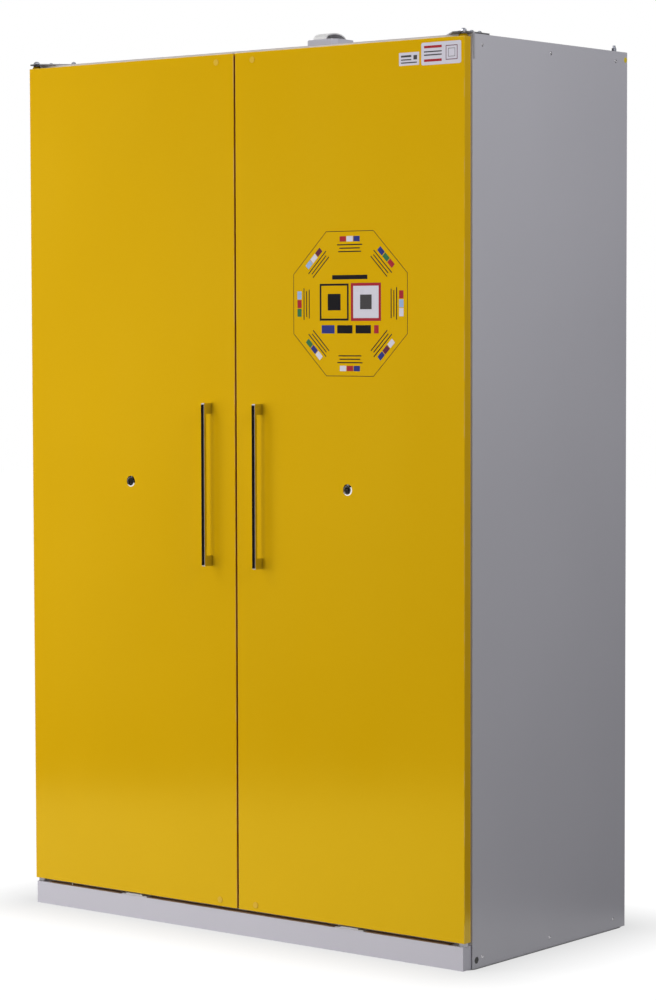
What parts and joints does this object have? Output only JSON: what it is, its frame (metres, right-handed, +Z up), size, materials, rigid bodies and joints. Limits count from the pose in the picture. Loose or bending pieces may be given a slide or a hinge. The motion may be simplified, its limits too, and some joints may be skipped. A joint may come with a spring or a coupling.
{
  "type": "flammable storage cabinet",
  "caption": "Tall fire-rated steel cabinet with hinged doors on a low plinth, bar handles, key locks with drop rods, shelves, a leak tray and a top exhaust outlet.",
  "frame": {"origin": "on the floor, under the middle of the box that holds the whole cabinet, handles included", "axes": "+Z up, +Y to the back, +X to the right as seen from the front"},
  "size_m": [1.2028, 0.618, 1.9488],
  "materials": {
    "door_yellow": "semi-gloss signal yellow powder coat",
    "shell_grey": "satin light grey powder coat",
    "plinth_grey": "satin pale grey powder coat",
    "fire_board": "matte fire board",
    "lining_white": "matte white laminate",
    "frame_steel": "satin grey powder coat",
    "seal_brown": "matte dark swelling seal",
    "seal_black": "matte rubber",
    "zinc_steel": "satin zinc plating",
    "fastener_zinc": "bright zinc plating",
    "handle_chrome": "polished chrome",
    "lock_chrome": "polished chrome",
    "lock_core": "satin dark steel",
    "rod_steel": "satin zinc plating",
    "cap_yellow": "satin yellow moulded plastic",
    "strike_grey": "satin pale grey moulded plastic",
    "shelf_paint": "satin pale grey powder coat",
    "tray_paint": "satin grey powder coat",
    "galvanised": "satin galvanised sheet",
    "outlet_plastic": "satin pale grey moulded plastic",
    "foot_plastic": "matte black moulded plastic"
  },
  "bodies": {
    "carcass": {"side_panel_left": "shell_grey", "side_panel_right": "shell_grey", "top_panel": "shell_grey", "back_panel": "shell_grey", "bottom_panel": "shell_grey", "plinth": "plinth_grey", "insulation_left": "fire_board", "insulation_right": "fire_board", "insulation_top": "fire_board", "insulation_back": "fire_board", "insulation_bottom": "fire_board", "liner_left": "lining_white", "liner_right": "lining_white", "liner_top": "lining_white", "liner_back": "lining_white", "liner_bottom": "lining_white", "front_frame": "frame_steel", "frame_seal": "seal_brown", "hinge_plate_left": "zinc_steel", "hinge_plate_right": "zinc_steel", "bottom_hinge_left": "zinc_steel", "bottom_hinge_right": "zinc_steel", "hinge_fasteners": "fastener_zinc", "panel_screws": "fastener_zinc", "earth_stud": "fastener_zinc", "strike_plates": "strike_grey", "shelf_low": "shelf_paint", "shelf_middle": "shelf_paint", "shelf_high": "shelf_paint", "sump_tray": "tray_paint", "shelf_uprights": "galvanised", "shelf_clips": "galvanised", "sump_grating": "galvanised", "exhaust_duct": "galvanised", "exhaust_outlet": "outlet_plastic", "exhaust_cowl": "outlet_plastic", "levelling_feet": "foot_plastic"},
    "door_left": {"door_skin_left": "door_yellow", "door_core_left": "fire_board", "door_liner_left": "lining_white", "door_seal_left": "seal_black", "door_caps_left": "cap_yellow", "handle_left": "handle_chrome", "lock_case_left": "lock_chrome"},
    "lock_left": {"lock_cylinder_left": "lock_core"},
    "rod_left": {"lock_rod_left": "rod_steel"},
    "door_right": {"door_skin_right": "door_yellow", "door_core_right": "fire_board", "door_liner_right": "lining_white", "door_seal_right": "seal_black", "door_caps_right": "cap_yellow", "handle_right": "handle_chrome", "lock_case_right": "lock_chrome"},
    "lock_right": {"lock_cylinder_right": "lock_core"},
    "rod_right": {"lock_rod_right": "rod_steel"}
  },
  "joints": [
    {"name": "door_right_hinge", "type": "hinge", "parent": "carcass", "child": "door_right", "pos_m": [0.5885, -0.27, 0.0563], "axis": [0, 0, 1], "range_deg": [0, 110]},
    {"name": "lock_right_turn", "type": "hinge", "parent": "door_right", "child": "lock_right", "pos_m": [0.302, -0.282, 0.965], "axis": [0, -1, 0], "range_deg": [0, 90]},
    {"name": "rod_right_slide", "type": "slide", "parent": "door_right", "child": "rod_right", "axis": [0, 0, -1], "range_m": [0, 0.012]},
    {"name": "door_left_hinge", "type": "hinge", "parent": "carcass", "child": "door_left", "pos_m": [-0.5885, -0.27, 0.0563], "axis": [0, 0, -1], "range_deg": [0, 110]},
    {"name": "lock_left_turn", "type": "hinge", "parent": "door_left", "child": "lock_left", "pos_m": [-0.302, -0.282, 0.965], "axis": [0, 1, 0], "range_deg": [0, 90]},
    {"name": "rod_left_slide", "type": "slide", "parent": "door_left", "child": "rod_left", "axis": [0, 0, -1], "range_m": [0, 0.012]}
  ],
  "couplings": [
    {"joint": "lock_right_turn", "follows": "rod_right_slide", "rad_per_m": 130.9},
    {"joint": "lock_left_turn", "follows": "rod_left_slide", "rad_per_m": 130.9}
  ]
}
